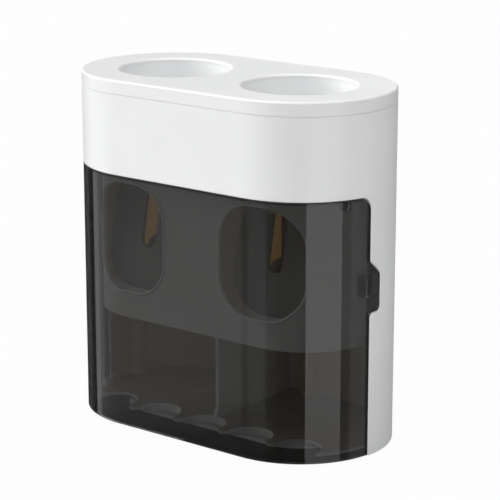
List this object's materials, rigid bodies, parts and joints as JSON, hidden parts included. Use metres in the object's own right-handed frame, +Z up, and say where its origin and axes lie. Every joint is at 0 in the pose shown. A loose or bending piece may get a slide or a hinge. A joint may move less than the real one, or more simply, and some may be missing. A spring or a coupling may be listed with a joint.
{
  "type": "toothpaste dispenser",
  "caption": "Wide round-ended dispenser with tube wells in its lid, press plates behind rounded windows, brush notches below and a smoked swing cover.",
  "frame": {"origin": "middle of the plan on the floor plane, under the brush rack", "axes": "+Z up, -Y towards the user (the smoked cover), +X to the user's right (the finger tab)"},
  "size_m": [0.2, 0.108, 0.205],
  "materials": {
    "white_shell": "satin white ABS",
    "smoked_cover": "glossy smoked see-through plastic",
    "white_inner": "satin white ABS",
    "plate_plastic": "matte grey ABS",
    "mat_rubber": "matte black rubber",
    "deck_plastic": "matte white ABS",
    "pump_plastic": "natural polypropylene",
    "soft_rubber": "soft silicone",
    "steel": "zinc-plated steel",
    "spring_steel": "drawn spring wire",
    "magnet_nickel": "nickel-plated"
  },
  "bodies": {
    "housing": {"housing_shell": "white_shell", "upper_deck": "deck_plastic", "lower_deck": "deck_plastic", "front_panel": "white_inner", "housing_magnet": "magnet_nickel", "brush_rack": "white_inner", "drip_mat": "mat_rubber", "bay_divider": "white_inner", "cover_hinge_pins": "steel", "deck_screws": "steel", "pump_screws": "steel", "panel_screws": "steel", "rack_screws": "steel", "press_pins_left": "steel", "press_pins_right": "steel", "pump_body_left": "pump_plastic", "pump_body_right": "pump_plastic", "inlet_valve_left": "soft_rubber", "inlet_valve_right": "soft_rubber", "outlet_nozzle_left": "pump_plastic", "outlet_nozzle_right": "pump_plastic", "tube_socket_left": "soft_rubber", "tube_socket_right": "soft_rubber", "window_collar_left": "white_inner", "window_collar_right": "white_inner"},
    "cover": {"front_cover": "smoked_cover", "cover_magnet": "magnet_nickel"},
    "lid": {"top_lid": "white_shell", "tube_cup_left": "white_shell", "tube_cup_right": "white_shell"},
    "plate_left": {"press_plate_left": "plate_plastic", "plate_springs_left": "spring_steel"},
    "piston_left": {"pump_piston_left": "pump_plastic", "piston_seal_left": "soft_rubber"},
    "plate_right": {"press_plate_right": "plate_plastic", "plate_springs_right": "spring_steel"},
    "piston_right": {"pump_piston_right": "pump_plastic", "piston_seal_right": "soft_rubber"}
  },
  "joints": [
    {"name": "cover_swing", "type": "hinge", "parent": "housing", "child": "cover", "pos_m": [-0.09521, -0.0109, 0.075], "axis": [0, 0, -1], "range_deg": [0, 95]},
    {"name": "lid_lift", "type": "slide", "parent": "housing", "child": "lid", "axis": [0, 0, 1], "range_m": [0, 0.05]},
    {"name": "press_left", "type": "hinge", "parent": "housing", "child": "plate_left", "pos_m": [-0.0473, -0.0146, 0.1465], "axis": [1, 0, 0], "range_deg": [0, 8], "stiffness_Nm_per_rad": 0.06, "springref_deg": -20.05},
    {"name": "piston_left", "type": "slide", "parent": "housing", "child": "piston_left", "axis": [0, 1, 0], "range_m": [0, 0.0068]},
    {"name": "press_right", "type": "hinge", "parent": "housing", "child": "plate_right", "pos_m": [0.0473, -0.0146, 0.1465], "axis": [1, 0, 0], "range_deg": [0, 8], "stiffness_Nm_per_rad": 0.06, "springref_deg": -20.05},
    {"name": "piston_right", "type": "slide", "parent": "housing", "child": "piston_right", "axis": [0, 1, 0], "range_m": [0, 0.0068]}
  ],
  "couplings": [
    {"joint": "piston_left", "follows": "press_left", "m_per_rad": 0.048},
    {"joint": "piston_right", "follows": "press_right", "m_per_rad": 0.048}
  ]
}
